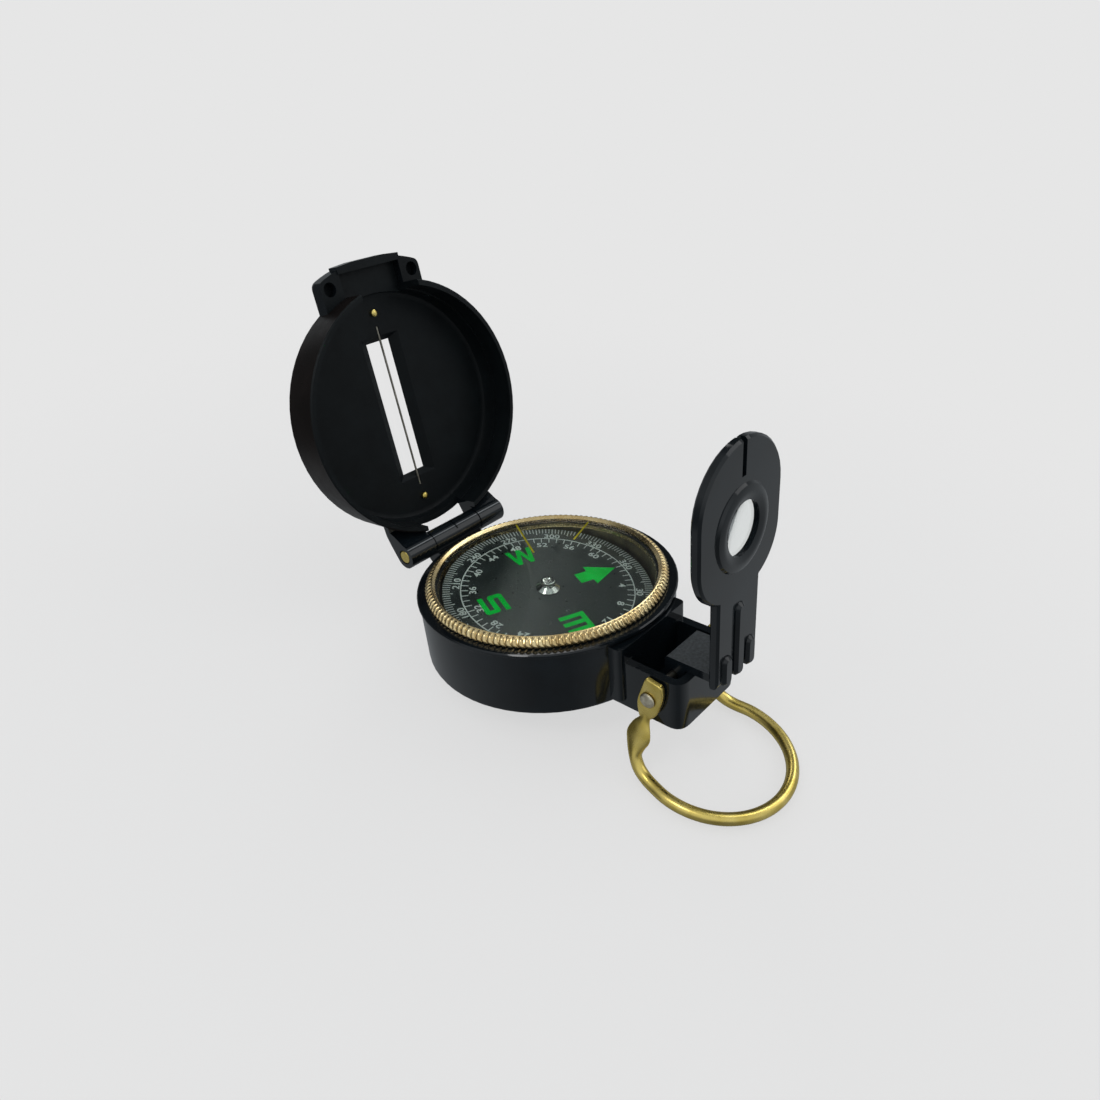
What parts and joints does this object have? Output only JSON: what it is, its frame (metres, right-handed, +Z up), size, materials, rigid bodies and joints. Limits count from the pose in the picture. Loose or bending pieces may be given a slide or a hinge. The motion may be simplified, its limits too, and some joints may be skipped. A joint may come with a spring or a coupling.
{
  "type": "magnetic compass",
  "caption": "Folding sighting compass with a hinged cover and sight wire, lens arm, thumb ring, knurled turning bezel and floating dial in a round moulded case.",
  "frame": {"origin": "centre of the round case's flat underside", "axes": "+Z up out of the dial, +Y towards the cover hinge, -Y towards the box, sighting arm and thumb ring"},
  "size_m": [0.0572, 0.1089, 0.0955],
  "materials": {
    "black_plastic": "black moulded ABS with a soft gloss",
    "inner_plastic": "black moulded plastic",
    "seal_rubber": "black gasket rubber",
    "clear_window": "clear cast acrylic",
    "lens_glass": "polished lens",
    "steel": "drawn steel",
    "hub_chrome": "polished nickel plate",
    "ring_brass": "bright polished brass",
    "bezel_brass": "pale knurled brass",
    "dial_black": "black printed card",
    "jewel": "polished synthetic ruby",
    "magnet": "sintered magnet bar"
  },
  "bodies": {
    "base": {"base_case": "black_plastic", "capsule_cup": "bezel_brass", "capsule_seal": "seal_rubber", "capsule_window": "clear_window", "pivot_post": "steel", "bezel_friction_ring": "steel", "ring_rivet_left": "steel", "ring_rivet_right": "steel", "arm_pin": "steel", "hinge_pin": "ring_brass"},
    "cover": {"cover_shell": "black_plastic", "sight_wire": "steel", "wire_pin_upper": "ring_brass", "wire_pin_lower": "ring_brass"},
    "sight_arm": {"sight_arm": "black_plastic", "lens": "lens_glass", "lens_ring": "inner_plastic"},
    "thumb_ring": {"thumb_ring": "ring_brass"},
    "bezel": {"bezel_ring": "bezel_brass", "bezel_crystal": "clear_window"},
    "dial": {"dial_card": "dial_black", "dial_hub": "hub_chrome", "pivot_jewel": "jewel", "dial_magnet": "magnet"}
  },
  "joints": [
    {"name": "cover_hinge", "type": "hinge", "parent": "base", "child": "cover", "pos_m": [0, 0.03068, 0.01706], "axis": [1, 0, 0], "range_deg": [0, 99.3]},
    {"name": "sight_arm_fold", "type": "hinge", "parent": "base", "child": "sight_arm", "pos_m": [0, -0.037, 0.0087], "axis": [1, 0, 0], "range_deg": [-90, 0]},
    {"name": "thumb_ring_swing", "type": "hinge", "parent": "base", "child": "thumb_ring", "pos_m": [0, -0.0355, 0.00585], "axis": [1, 0, 0], "range_deg": [-90, 35]},
    {"name": "bezel_turn", "type": "hinge", "parent": "base", "child": "bezel", "pos_m": [0, 0, 0.0162], "axis": [0, 0, 1], "continuous": true},
    {"name": "dial_turn", "type": "hinge", "parent": "base", "child": "dial", "pos_m": [0, 0, 0.01145], "axis": [0, -0.1392, 0.9903], "continuous": true}
  ],
  "couplings": [
    {"joint": "sight_arm_fold", "follows": "cover_hinge", "ratio": -0.9063}
  ]
}
